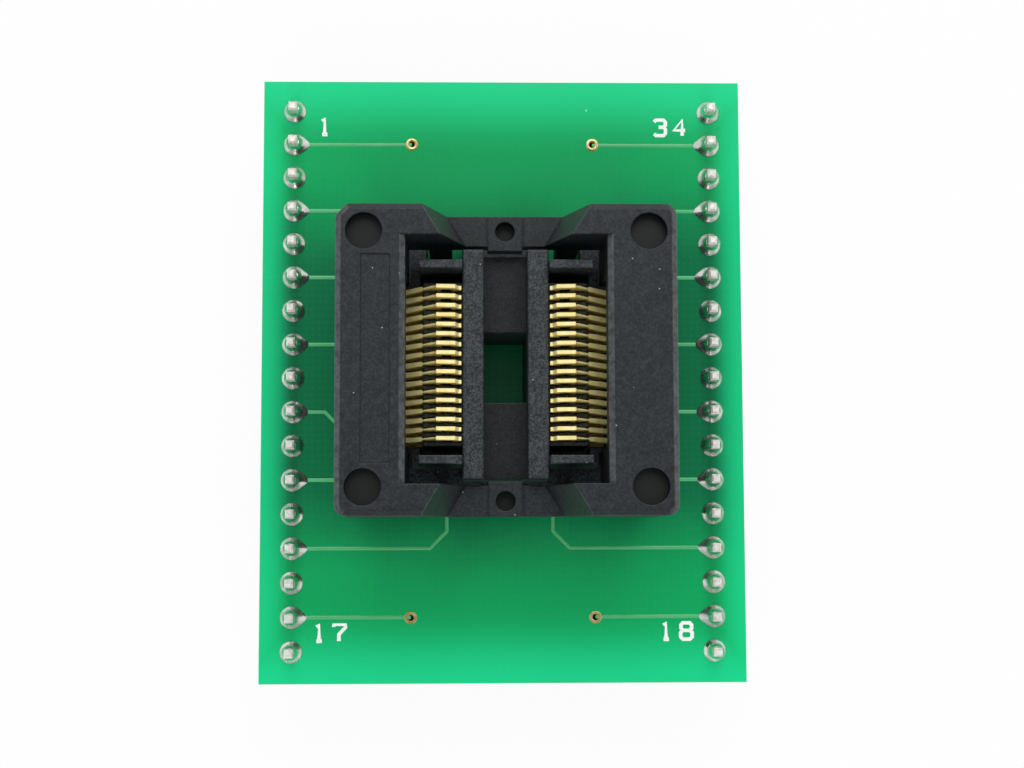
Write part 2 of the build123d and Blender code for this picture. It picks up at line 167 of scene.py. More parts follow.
@dataclass(frozen=True)
class SolderMask(Finish):
    """Green epoxy solder mask, screened on glass laminate and cured glossy.

    Its colour holds painted light: a painted glow, standing in for light through the laminate,
    makes it paler towards the board's edges, in a narrower band along the header strips, and
    painted shade makes it deepest in the middle, near the socket. The glass weave shows faintly.
    """

    name: str = "solder_mask_epoxy"
    # The first green is the mask painted in shade near the socket, the middle one its own colour,
    # and the pale one the mask painted with glow near the board's edges.
    shaded_green: str = "#027044"
    middle: str = "#04A65C"
    pale: str = "#16D48C"
    laminate: str = "#A9C98A"
    dust: str = "#C4F2DA"
    half_width: float = 18.05
    half_length: float = 22.65
    side_glow: float = 2.7
    side_share: float = 0.8
    end_glow: float = 5.6
    # Along y the painted shade is full within the first length and gone past the second.
    shaded_length: float = 8.0
    unshaded_length: float = 16.5
    weave: float = 0.5
    weave_share: float = 0.04
    cloud: float = 9.0
    cloud_shift: float = 6.0
    cut_share: float = 0.9995

    def shade(self, tree: NodeTree) -> Node:
        """Builds the mask's nodes and returns its shader."""
        place = add_node(tree, "TexCoord").outputs["Object"]
        axes = add_node(tree, "SeparateXYZ", {"Vector": place})
        nearness, reach = [], []
        # Painted glow: the mask turns paler in a band along the board's edges, narrower and fainter
        # at the sides.
        for axis, half, glow, most in (("X", self.half_width, self.side_glow, self.side_share),
                                       ("Y", self.half_length, self.end_glow, 1.0)):
            out = add_node(tree, "Math", {0: axes.outputs[axis]}, operation="ABSOLUTE")
            nearness.append(add_node(
                tree, "MapRange", {"Value": out, "From Min": (half - glow) * MM,
                                   "From Max": half * MM, "To Max": most},
                interpolation_type="SMOOTHSTEP"))
            reach.append(add_node(tree, "Math", {0: out, 1: half * MM}, operation="DIVIDE"))
        rim_glow, cut = (add_node(tree, "Math", dict(enumerate(pair)), operation="MAXIMUM")
                    for pair in (nearness, reach))
        side = add_node(tree, "Math", {0: cut, 1: self.cut_share}, operation="GREATER_THAN")

        clouds = add_node(tree, "TexNoise",
                          {"Vector": place, "Scale": per_mm(self.cloud), "Detail": 3.0})
        # Painted shade: darkest near the socket along y, turning to the mask's own green further
        # out across a wavy border.
        shift = add_node(tree, "Math",
                         {0: clouds, 1: self.cloud_shift * MM, 2: -self.cloud_shift / 2 * MM},
                         operation="MULTIPLY_ADD")
        along = add_node(tree, "Math", {0: reach[1], 1: self.half_length * MM, 2: shift},
                         operation="MULTIPLY_ADD")
        spread = add_node(tree, "MapRange",
                          {"Value": along, "From Min": self.shaded_length * MM,
                           "From Max": self.unshaded_length * MM}, interpolation_type="SMOOTHSTEP")

        # Period of a wave texture whose scale is 1.
        period = 0.314
        threads = [add_node(tree, "TexWave",
                            {"Vector": place, "Scale": period * per_mm(self.weave),
                             "Distortion": 1.2, "Detail": 1.0},
                            wave_type="BANDS", bands_direction=direction).outputs["Fac"]
                   for direction in ("X", "Y")]
        weave = add_node(tree, "Math", dict(enumerate(threads)), operation="MULTIPLY")
        faint = add_node(tree, "Math", {0: weave, 1: self.weave_share}, operation="MULTIPLY")
        specks = dust_on(tree, place, spacing=2.1, speck=0.07, share=0.16)
        # The mix starts from the painted shade, then lays on the mask's own green, the painted
        # glow, the weave, dust and the laminate's cut edges.
        colour = linear(self.shaded_green)
        for factor, coat in ((spread, self.middle), (rim_glow, self.pale), (faint, self.pale),
                             (specks, self.dust), (side, self.laminate)):
            colour = add_node(tree, "Mix", {0: factor, 6: colour, 7: linear(coat)},
                              data_type="RGBA").outputs[2]
        gloss = add_node(tree, "MapRange", {"Value": clouds, "To Min": 0.2, "To Max": 0.32})
        bump = add_node(tree, "Bump", {"Height": weave, "Strength": 0.12, "Distance": 0.006 * MM})
        return add_node(tree, "BsdfPrincipled",
                        {"Base Color": colour, "Roughness": gloss, "IOR": 1.5,
                         "Specular IOR Level": 0.16, "Normal": bump})


@dataclass(frozen=True)
class CoveredCopper(Finish):
    """Green mask over copper, paler than over bare laminate. Over a plugged hole it is painted
    dark, as shade at the bottom of the hole.
    """

    name: str = "covered_copper_track"
    low: str = "#37A862"
    high: str = "#5CBE80"

    def shade(self, tree: NodeTree) -> Node:
        """Builds the track's nodes and returns its shader."""
        place = add_node(tree, "TexCoord").outputs["Object"]
        patches = add_node(tree, "TexNoise", {"Vector": place, "Scale": per_mm(2.5), "Detail": 3.0})
        colour = add_node(tree, "Mix", {0: patches, 6: linear(self.low), 7: linear(self.high)},
                          data_type="RGBA")
        return add_node(tree, "BsdfPrincipled",
                        {"Base Color": colour.outputs[2], "Roughness": 0.28, "IOR": 1.5,
                         "Specular IOR Level": 0.5})


@dataclass(frozen=True)
class PrintedInk(Finish):
    """White screen-printed ink, slightly uneven where the screen's mesh left its mark."""

    name: str = "white_screen_ink"
    ink: str = "#FFFFFF"
    thin: str = "#DDF4E8"
    mesh: float = 0.09

    def shade(self, tree: NodeTree) -> Node:
        """Builds the ink's nodes and returns its shader."""
        place = add_node(tree, "TexCoord").outputs["Object"]
        pores = add_node(tree, "TexNoise",
                         {"Vector": place, "Scale": per_mm(self.mesh), "Detail": 2.0})
        cover = add_node(tree, "MapRange", {"Value": pores, "From Min": 0.3, "From Max": 0.5})
        colour = add_node(tree, "Mix", {0: cover, 6: linear(self.thin), 7: linear(self.ink)},
                          data_type="RGBA")
        bump = add_node(tree, "Bump", {"Height": pores, "Strength": 0.3, "Distance": 0.01 * MM})
        return add_node(tree, "BsdfPrincipled",
                        {"Base Color": colour.outputs[2], "Roughness": 0.6, "IOR": 1.5,
                         "Normal": bump})


@dataclass(frozen=True)
class PlatedMetal(Finish):
    """Plated or soldered metal: a base tone with duller patches, fine grain and soft ripples.

    Gold plate keeps a satin gleam, tin plate has drawing lines along the pin, and solder sets
    with a bright skin that ripples. The torn edges where a contact was blanked from its sheet
    scatter nearly all light.
    """

    bright: str
    dull: str
    patch: float
    roughness: float
    ripple: float
    ripple_depth: float
    variation: float = 0.1
    gleam: float = 1.0
    torn_gleam: float = 0.05
    torn_roughness: float = 0.2
    stretch: tuple[float, float, float] = (1.0, 1.0, 1.0)

    def shade(self, tree: NodeTree) -> Node:
        """Builds the metal's nodes and returns its shader."""
        place = add_node(tree, "TexCoord").outputs["Object"]
        laid = add_node(tree, "Mapping", {"Vector": place, "Scale": self.stretch})
        patches, ripples = (
            add_node(tree, "TexNoise", {"Vector": laid, "Scale": per_mm(size), "Detail": detail})
            for size, detail in ((self.patch, 3.0), (self.ripple, 2.0)))
        spread = add_node(tree, "MapRange", {"Value": patches, "From Min": 0.35, "From Max": 0.65})
        colour = add_node(tree, "Mix", {0: spread, 6: linear(self.dull), 7: linear(self.bright)},
                          data_type="RGBA")
        satin = add_node(tree, "MapRange",
                         {"Value": spread, "To Min": self.roughness + self.variation,
                          "To Max": self.roughness})
        bump = add_node(tree, "Bump",
                        {"Height": ripples, "Strength": 0.6, "Distance": self.ripple_depth * MM})
        torn = add_node(tree, "Attribute", attribute_name="torn_edge").outputs["Fac"]
        gleam = add_node(tree, "MapRange",
                         {"Value": torn, "To Min": self.gleam, "To Max": self.torn_gleam})
        rougher = add_node(tree, "Math", {0: torn, 1: self.torn_roughness, 2: satin},
                           operation="MULTIPLY_ADD")
        return add_node(tree, "BsdfPrincipled",
                        {"Base Color": colour.outputs[2], "Metallic": gleam, "Roughness": rougher,
                         "Normal": bump})


@dataclass(frozen=True)
class MouldedPlastic(Finish):
    """Black glass-filled polymer from a spark-eroded mould.

    Its skin is finely pebbled, its edges are paler from rubbing and from a painted sheen, its
    recesses are darker with painted shade, and light dust sits in the texture. The pebbles are
    drawn 0.14 to 0.2 mm across so that they show; real ones are 0.05 mm.
    """

    # The third colour is painted shade in recesses, and the fourth shows rubbing and a painted
    # sheen on edges.
    body: str = "#0A0E10"
    pale: str = "#2A3135"
    smooth: str = "#020506"
    worn: str = "#979C9F"
    dust: str = "#A2A7AA"
    grain: float = 0.17
    blotch: float = 0.5
    cloud: float = 5.0
    speckle: float = 0.55
    roughness: float = 0.5
    wear_and_sheen: float = 1.0

    def shade(self, tree: NodeTree) -> Node:
        """Builds the plastic's nodes and returns its shader."""
        place = add_node(tree, "TexCoord").outputs["Object"]
        pebbles, mottle, clouds = (
            add_node(tree, "TexNoise", {"Vector": place, "Scale": per_mm(size), "Detail": detail,
                                        "Roughness": rough})
            for size, detail, rough in ((self.grain, 2.0, 0.5), (self.blotch, 4.0, 0.7),
                                        (self.cloud, 2.0, 0.5)))
        blotches, grit = (
            add_node(tree, "MapRange", {"Value": noise, "From Min": least, "From Max": most})
            for noise, least, most in ((mottle, 0.36, 0.7), (pebbles, 0.4, 0.66)))
        tone = add_node(tree, "Mix", {0: self.speckle, 2: blotches, 3: grit}, data_type="FLOAT")
        # The first layer carries rubbing and a painted sheen on edges, the second painted shade in
        # recesses.
        edge, shade_mark = (add_node(tree, "Attribute", attribute_name=layer).outputs["Fac"]
                      for layer in ("edge_wear_and_sheen", "painted_recess_shade"))
        # Edges are paler, partly from rubbing and partly from a painted sheen, broken up by the
        # mottle.
        rubbed = add_node(tree, "MapRange", {"Value": mottle, "From Min": 0.34, "From Max": 0.58,
                                             "To Min": 0.25, "To Max": self.wear_and_sheen})
        wear_and_sheen = add_node(tree, "Math", {0: edge, 1: rubbed}, operation="MULTIPLY")
        specks = dust_on(tree, place, spacing=0.6, speck=0.045, share=0.12)
        colour = linear(self.body)
        for factor, coat in ((tone, self.pale), (wear_and_sheen, self.worn), (specks, self.dust),
                             (shade_mark, self.smooth)):
            colour = add_node(tree, "Mix", {0: factor, 6: colour, 7: linear(coat)},
                              data_type="RGBA").outputs[2]
        satin = add_node(tree, "MapRange",
                         {"Value": clouds, "To Min": self.roughness - 0.08,
                          "To Max": self.roughness + 0.1})
        bump = add_node(tree, "Bump", {"Height": pebbles, "Strength": 0.5, "Distance": 0.012 * MM})
        return add_node(tree, "BsdfPrincipled",
                        {"Base Color": colour, "Roughness": satin, "IOR": 1.5,
                         "Specular IOR Level": 0.4, "Normal": bump})


MASK = SolderMask()
TRACK = CoveredCopper()
# Painted shade: the mask that closes a via hole is coloured dark, as the bottom of the hole lies in
# shade.
SHADED_PLUG = CoveredCopper("shaded_mask_over_a_hole", low="#04341C", high="#06401F")
INK = PrintedInk()
EYELET_GOLD = PlatedMetal("immersion_gold_on_copper", bright="#EAD9A0", dull="#C2A65E",
                          patch=0.4, roughness=0.3, ripple=0.1, ripple_depth=0.004)
CONTACT_GOLD = PlatedMetal("gold_plated_beryllium_copper", bright="#FFF4B2", dull="#F4E290",
                           patch=0.6, roughness=0.36, variation=0.08, ripple=0.25,
                           ripple_depth=0.012, gleam=0.35)
# Painted shade: the stems' gold is a darker copy of the contacts' gold, as the stems stand in
# shadow.
SHADED_STEM_GOLD = PlatedMetal("gold_plated_beryllium_copper_shaded", bright="#E6CC6E",
                        dull="#B8963C", patch=0.5, roughness=0.36, ripple=0.12,
                        ripple_depth=0.01, gleam=0.5)
SOLDER = PlatedMetal("tin_lead_solder", bright="#F2F2EE", dull="#D2D4CE", patch=0.7,
                     roughness=0.2, variation=0.14, ripple=0.42, ripple_depth=0.06)
PIN_TIN = PlatedMetal("drawn_tinned_brass_pin", bright="#FAF9F4", dull="#DAD7CE", patch=0.25,
                      roughness=0.4, variation=0.08, ripple=0.1, ripple_depth=0.006,
                      gleam=0.45, stretch=(1.0, 1.0, 0.12))
SPRING_STEEL = PlatedMetal("drawn_stainless_spring_wire", bright="#C9CCCE", dull="#8E9193",
                           patch=0.3, roughness=0.24, ripple=0.1, ripple_depth=0.004)
COVER_PLASTIC = MouldedPlastic("glass_filled_polymer_cover")
BASE_PLASTIC = MouldedPlastic("glass_filled_polymer_base", body="#070A0C", pale="#454C50",
                              worn="#7E8386", grain=0.14, speckle=0.65, roughness=0.46,
                              wear_and_sheen=0.7)
STRIP_PLASTIC = MouldedPlastic("black_polyester_header", body="#141516", pale="#222425",
                               worn="#4A4D4F", dust="#5A5E60", grain=0.2, roughness=0.38)


def dress(node: str, finish: Finish) -> None:
    """Gives a CAD node that stays as it is a finish through its material slots.

    Args:
        node: Name of the CAD node.
        finish: The finish that it gets.
    """
    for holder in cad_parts[node].material_slots:
        holder.material = finish.material()
    LOG.info("%s: dressed with %s", node, finish.name)


def add_object(name: str, data: ID) -> Object:
    """Adds an object that holds the data to the scene and returns it."""
    made = bpy.data.objects.new(name, data)
    bpy.context.scene.collection.objects.link(made)
    return made


def add_piece(name: str, shape: BMesh, finish: Finish, body: str,
              stands_for: str = "", smooth: bool = False) -> Object:
    """Turns a finished bmesh into a piece that rides on a CAD body.

    Args:
        name: Name of the piece.
        shape: Its shape in metres, in the CAD frame. It is freed here.
        finish: Its finish.
        body: CAD body that it moves with.
        stands_for: CAD node that it replaces, if any.
        smooth: Whether its faces are shaded smooth.

    Returns:
        The new object, at the origin.
    """
    mesh = bpy.data.meshes.new(name)
    shape.to_mesh(mesh)
    shape.free()
    mesh.materials.append(finish.material())
    if smooth:
        mesh.polygons.foreach_set("use_smooth", [True] * len(mesh.polygons))
        mesh.set_sharp_from_angle(angle=math.radians(50))
    piece = add_object(name, mesh)
    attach(piece, body)
    if stands_for:
        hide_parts(stands_for)
    LOG.info("%s: %d faces on %s", name, len(mesh.polygons), body)
    return piece


def add_copy(shape: BMesh, mesh: Mesh, place: Matrix) -> list:
    """Adds a mesh to a bmesh at a place.

    Args:
        shape: The bmesh that grows.
        mesh: The mesh to add.
        place: Transform of the added copy.

    Returns:
        The vertices of the copy.
    """
    count = len(shape.verts)
    shape.from_mesh(mesh)
    shape.verts.ensure_lookup_table()
    added = shape.verts[count:]
    bmesh.ops.transform(shape, matrix=place, verts=added)
    return added


def cad_copy(node: str) -> BMesh:
    """Copies a CAD node's mesh with its points merged and its flat faces made whole.

    Args:
        node: Name of the CAD node.

    Returns:
        A new bmesh in the CAD frame.
    """
    shape = bmesh.new()
    shape.from_mesh(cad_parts[node].data)
    bmesh.ops.remove_doubles(shape, verts=shape.verts, dist=SAME_POINT)
    bmesh.ops.dissolve_limit(shape, angle_limit=math.radians(0.3), verts=shape.verts,
                             edges=shape.edges, use_dissolve_boundaries=False)
    return shape


def soften(shape: BMesh, width: float, sharper_than: float = 28.0) -> None:
    """Rounds the outer edges of a shape and marks the rounded faces for rubbing and a painted
    sheen.

    Args:
        shape: The shape, changed in place.
        width: Width of the rounding in millimetres.
        sharper_than: Only edges that turn by more than this many degrees are rounded.
    """
    limit = math.radians(sharper_than)
    edges = [edge for edge in shape.edges
             if len(edge.link_faces) == 2 and edge.is_convex and edge.calc_face_angle() > limit]
    rounded = bmesh.ops.bevel(shape, geom=edges, offset=width * MM, offset_type="OFFSET",
                              segments=2, profile=0.5, affect="EDGES", material=-1,
                              clamp_overlap=False)
    wear_and_sheen = face_layer(shape, "edge_wear_and_sheen")
    for face in rounded["faces"]:
        if face.is_valid:
            face[wear_and_sheen] = 1.0


def face_layer(shape: BMesh, name: str) -> BMLayerItem:
    """Returns a layer of numbers on the faces, made the first time it is asked for."""
    return shape.faces.layers.float.get(name) or shape.faces.layers.float.new(name)


def mark_faces(shape: BMesh, layer: str, amount: Callable[[BMFace], float]) -> None:
    """Writes an amount on every face that a rule gives one to.

    Args:
        shape: The shape, changed in place.
        layer: Name of the layer.
        amount: Rule that gives a face its amount; a face whose amount is 0 is left as it is.
    """
    place = face_layer(shape, layer)
    for face in shape.faces:
        given = amount(face)
        if given:
            face[place] = given


def line_mesh(strokes: Sequence[Sequence[tuple[float, float]]], width: float, height: float,
              level: float) -> BMesh:
    """Draws low rounded lines on a level face.

    Args:
        strokes: Points of each line in millimetres; a line whose ends meet is closed.
        width: Width of the lines in millimetres.
        height: How far they stand proud of the face, in millimetres.
        level: Level of the face in millimetres.

    Returns:
        A bmesh in metres.
    """
    curve = bpy.data.curves.new("line", "CURVE")
    curve.dimensions = "3D"
    curve.bevel_depth = width / 2 * MM
    curve.bevel_resolution = 3
    curve.use_fill_caps = True
    for stroke in strokes:
        closed = stroke[0] == stroke[-1]
        points = stroke[:-1] if closed else stroke
        spline = curve.splines.new("POLY")
        spline.points.add(len(points) - 1)
        for point, (x, y) in zip(spline.points, points):
            point.co = (x * MM, y * MM, 0, 1)
        spline.use_cyclic_u = closed
    holder = bpy.data.objects.new("line", curve)
    mesh = bpy.data.meshes.new_from_object(holder)
    bpy.data.objects.remove(holder)
    shape = bmesh.new()
    shape.from_mesh(mesh)
    bmesh.ops.scale(shape, vec=(1, 1, 2 * height / width), verts=shape.verts)
    bmesh.ops.translate(shape, vec=(0, 0, level * MM), verts=shape.verts)
    return shape


def close_up(shape: BMesh) -> None:
    """Fills the open ends of a shape and turns its faces outwards."""
    bmesh.ops.holes_fill(shape, edges=[e for e in shape.edges if e.is_boundary], sides=0)
    bmesh.ops.recalc_face_normals(shape, faces=shape.faces)


def turned_mesh(name: str, profile: Sequence[tuple[float, float]], steps: int,
                closed: bool = False) -> Mesh:
    """Turns a profile round the z axis.

    Args:
        name: Name of the mesh.
        profile: Radius and height of each point in millimetres.
        steps: Faces round the axis.
        closed: Whether a last line joins the profile's ends.

    Returns:
        A closed mesh in metres.
    """
    shape = bmesh.new()
    points = [shape.verts.new((r * MM, 0, z * MM)) for r, z in profile]
    lines = [shape.edges.new((points[k - 1], points[k]))
             for k in range(0 if closed else 1, len(points))]
    bmesh.ops.spin(shape, geom=points + lines, cent=(0, 0, 0), axis=UP, angle=2 * math.pi,
                   steps=steps, use_merge=True)
    close_up(shape)
    mesh = bpy.data.meshes.new(name)
    shape.to_mesh(mesh)
    shape.free()
    return mesh


@dataclass
class CircuitBoard:
    """The board: its mask, the tracks under it, the rings of its vias and printed pin numbers."""

    top: float = 10.14
    bottom: float = 8.54
    pin_count: int = 17
    pin_pitch: float = 2.54
    row_out: float = 15.7
    track_width: float = 0.27
    track_height: float = 0.03
    track_end: float = 9.0
    stepped_track: int = 9
    step_out: float = 13.3
    step_run: float = 1.7
    long_track: int = 13
    long_end: float = -8.0
    bend_run: float = 1.25
    via_out: float = 6.85
    via_along: float = 17.82
    via_reach: float = 0.2
    ring_inner: float = 0.225
    ring_outer: float = 0.475
    ring_proud: float = 0.04
    ring_lip: float = 0.03
    plug_depth: float = 0.12
    figure_height: float = 1.2
    figure_width: float = 0.86
    figure_step: float = 1.5
    stroke_width: float = 0.28
    ink_height: float = 0.02

    FIGURES = {
        "1": [[(0.26, 0.86), (0.48, 0.98), (0.48, 0.0)], [(0.26, 0.0), (0.72, 0.0)]],
        "3": [[(0.0, 0.88), (0.16, 1.0), (0.82, 1.0), (1.0, 0.86), (1.0, 0.66), (0.82, 0.54),
               (0.4, 0.54)],
              [(0.82, 0.54), (1.0, 0.4), (1.0, 0.14), (0.82, 0.0), (0.16, 0.0), (0.0, 0.12)]],
        "4": [[(0.74, 0.0), (0.74, 1.0), (0.0, 0.34), (1.0, 0.34)]],
        "7": [[(0.0, 0.86), (0.0, 1.0), (1.0, 1.0), (1.0, 0.84), (0.44, 0.4), (0.44, 0.0)]],
        "8": [[(0.2, 0.54), (0.04, 0.67), (0.04, 0.87), (0.2, 1.0), (0.8, 1.0), (0.96, 0.87),
               (0.96, 0.67), (0.8, 0.54), (0.2, 0.54)],
              [(0.2, 0.54), (0.0, 0.4), (0.0, 0.14), (0.2, 0.0), (0.8, 0.0), (1.0, 0.14),
               (1.0, 0.4), (0.8, 0.54)]],
    }
    NUMBERS = (("1", -13.44, 19.18), ("34", 12.78, 19.16), ("17", -12.85, -18.9),
               ("18", 12.85, -18.87))
    BENDS = {Side.LEFT: 5.44, Side.RIGHT: 4.98}

    def row_level(self, index: int) -> float:
        """Place along y of a pin, counted from the top of the photograph."""
        return ((self.pin_count - 1) / 2 - index) * self.pin_pitch

    def track_routes(self, side: Side) -> list[list[tuple[float, float]]]:
        """Routes of one side's tracks, from every second pin towards the socket.

        Args:
            side: Side of the board.

        Returns:
            A list of points for each track, in millimetres.
        """
        sign = side.value
        end = sign * self.track_end
        routes = []
        for index in range(1, self.pin_count, 2):
            level = self.row_level(index)
            route = [(sign * self.row_out, level)]
            if abs(abs(level) - self.via_along) < self.via_reach:
                route += [(sign * self.via_out, level)]
            elif index == self.long_track:
                bend = self.BENDS[side]
                inner = sign * (bend - self.bend_run)
                route += [(sign * bend, level), (inner, level + self.bend_run),
                          (inner, self.long_end)]
            elif index == self.stepped_track and side is Side.LEFT:
                low = level - self.step_run
                route += [(sign * self.step_out, level),
                          (sign * (self.step_out - self.step_run), low), (end, low)]
            else:
                route += [(end, level)]
            routes.append(route)
        return routes

    def build_tracks(self) -> None:
        """Lays the tracks of both sides as low ridges under the mask."""
        routes = [route for side in Side for route in self.track_routes(side)]
        shape = line_mesh(routes, self.track_width, self.track_height, self.top)
        add_piece("copper_tracks", shape, TRACK, "root", smooth=True)

    def build_numbers(self) -> None:
        """Prints the numbers of the pins at the four ends of the rows."""
        strokes = []
        for word, middle, level in self.NUMBERS:
            span = (len(word) - 1) * self.figure_step + self.figure_width
            for place, figure in enumerate(word):
                left = middle - span / 2 + place * self.figure_step
                base = level - self.figure_height / 2
                strokes += [[(left + u * self.figure_width, base + v * self.figure_height)
                             for u, v in stroke] for stroke in self.FIGURES[figure]]
        shape = line_mesh(strokes, self.stroke_width, self.ink_height, self.top)
        add_piece("pin_numbers", shape, INK, "root", smooth=True)

    def via_places(self) -> list[tuple[float, float]]:
        """Places of the four vias, in metres."""
        return [(x * MM, y * MM) for x in (-self.via_out, self.via_out)
                for y in (-self.via_along, self.via_along)]

    def build_vias(self) -> None:
        """Turns the plated eyelet of a via and sets it in the four holes."""
        low = self.bottom - self.ring_proud
        high = self.top + self.ring_proud
        inner, outer, lip = self.ring_inner, self.ring_outer, self.ring_lip
        profile = [(inner, low + lip), (inner + lip, low), (outer - lip, low), (outer, low + lip),
                   (outer, high - lip), (outer - lip, high), (inner + lip, high),
                   (inner, high - lip)]
        eyelet = turned_mesh("eyelet", profile, steps=28, closed=True)
        shape = bmesh.new()
        for x, y in self.via_places():
            add_copy(shape, eyelet, Matrix.Translation((x, y, 0)))
        add_piece("via_rings", shape, EYELET_GOLD, "root", "via_eyelets",
                  smooth=True)

    def build_plugs(self) -> None:
        """Closes the four via holes from below with a plug of mask."""
        shape = bmesh.new()
        level = (self.bottom + self.plug_depth / 2) * MM
        radius = self.ring_inner * MM
        for x, y in self.via_places():
            bmesh.ops.create_cone(shape, cap_ends=True, segments=20, radius1=radius,
                                  radius2=radius, depth=self.plug_depth * MM,
                                  matrix=Matrix.Translation((x, y, level)))
        add_piece("via_plugs", shape, SHADED_PLUG, "root")

    def build(self) -> None:
        """Dresses the board and adds its tracks, numbers, rings and plugs."""
        dress("circuit_board", MASK)
        self.build_tracks()
        self.build_numbers()
        self.build_vias()
        self.build_plugs()


@dataclass
class SolderJoints:
    """A row of solder joints, each drawn up its pin and a little different from the next."""

    node: str
    level: float
    foot: float
    rise: float
    neck: float
    seed: int
    hangs: bool = False
    lobe: float = 0.0
    sway: float = 0.05
    narrowest: float = 0.97
    lowest: float = 0.88
    steps: int = 22

    # Shares of the foot's radius and of the rise, from the board up.
    FLARE = ((1.0, 0.03), (0.97, 0.09), (0.9, 0.16), (0.82, 0.23), (0.73, 0.32), (0.64, 0.43),
             (0.56, 0.57), (0.5, 0.72))
    # Shares of the neck's radius and of the rise.
    COLLAR = ((1.08, 0.87), (1.0, 1.0), (0.6, 1.02))

    def joint_mesh(self) -> Mesh:
        """Turns the profile of one joint on the origin.

        Returns:
            A closed mesh in metres that stands on z = 0.
        """
        profile = [(self.foot * 0.985, -0.01)]
        profile += [(self.foot * out, self.rise * up) for out, up in self.FLARE]
        profile += [(self.neck * out, self.rise * up) for out, up in self.COLLAR]
        return turned_mesh(f"{self.node}_joint", profile, self.steps)

    def pull_lobe(self, verts: list, centre: Vector, toward: float) -> None:
        """Draws the foot of a joint out along its track.

        Args:
            verts: Vertices of the joint.
            centre: Its middle, in metres.
            toward: Sign of x of the track's direction.
        """
        for vert in verts:
            arm = Vector((vert.co.x - centre.x, vert.co.y - centre.y))
            if arm.length < 1e-7:
                continue
            facing = max(0.0, toward * arm.x / arm.length)
            outness = min(1.0, arm.length / (self.foot * MM))
            vert.co.x += toward * self.lobe * MM * facing ** 7 * outness ** 3

    def build(self, spots: Sequence[tuple[float, float]], toward: float = 0.0) -> None:
        """Sets a joint at each spot.

        Args:
            spots: Places of the joints in millimetres.
            toward: Sign of x of the track that leaves every second joint; 0 without tracks.
        """
        mesh = self.joint_mesh()
        chance = random.Random(self.seed)
        shape = bmesh.new()
        for index, (x, y) in enumerate(spots):
            centre = Vector((x * MM, y * MM, self.level * MM))
            size = chance.uniform(self.narrowest, 1.0)
            turn = Matrix.Rotation(chance.uniform(0, 2 * math.pi), 4, "Z")
            flip = Matrix.Rotation(math.pi, 4, "X") if self.hangs else Matrix.Identity(4)
            grown = Matrix.Diagonal((size, size, chance.uniform(self.lowest, 1.0), 1))
            verts = add_copy(shape, mesh, Matrix.Translation(centre) @ flip @ grown @ turn)
            for vert in verts:
                share = abs(vert.co.z - centre.z) / (self.rise * MM)
                # Where a joint lies along its row decides which way it sways.
                sway = self.sway * MM * share * (1 - share)
                vert.co.x += sway * math.sin(9.0 * y + 3.0)
                vert.co.y += sway * math.cos(7.0 * y)
            if toward and index % 2:
                self.pull_lobe(verts, centre, toward)
        add_piece(f"{self.node}_fillets", shape, SOLDER, "root", self.node,
                  smooth=True)


@dataclass
class HeaderRow:
    """One row of header pins with its plastic strip and its solder joints."""

    side: Side
    board: CircuitBoard

    def build(self) -> None:
        """Dresses the strip and the pins, and sets the solder joints."""
        word = self.side.word
        dress(f"header_strip_{word}", STRIP_PLASTIC)
        dress(f"header_pins_{word}", PIN_TIN)
        spots = [(self.side.value * self.board.row_out, self.board.row_level(k))
                 for k in range(self.board.pin_count)]
        joints = SolderJoints(f"pin_solder_{word}", self.board.top, foot=0.89, rise=0.95,
                              neck=0.38, seed=5 + self.side.value, lobe=0.3)
        joints.build(spots, -self.side.value)


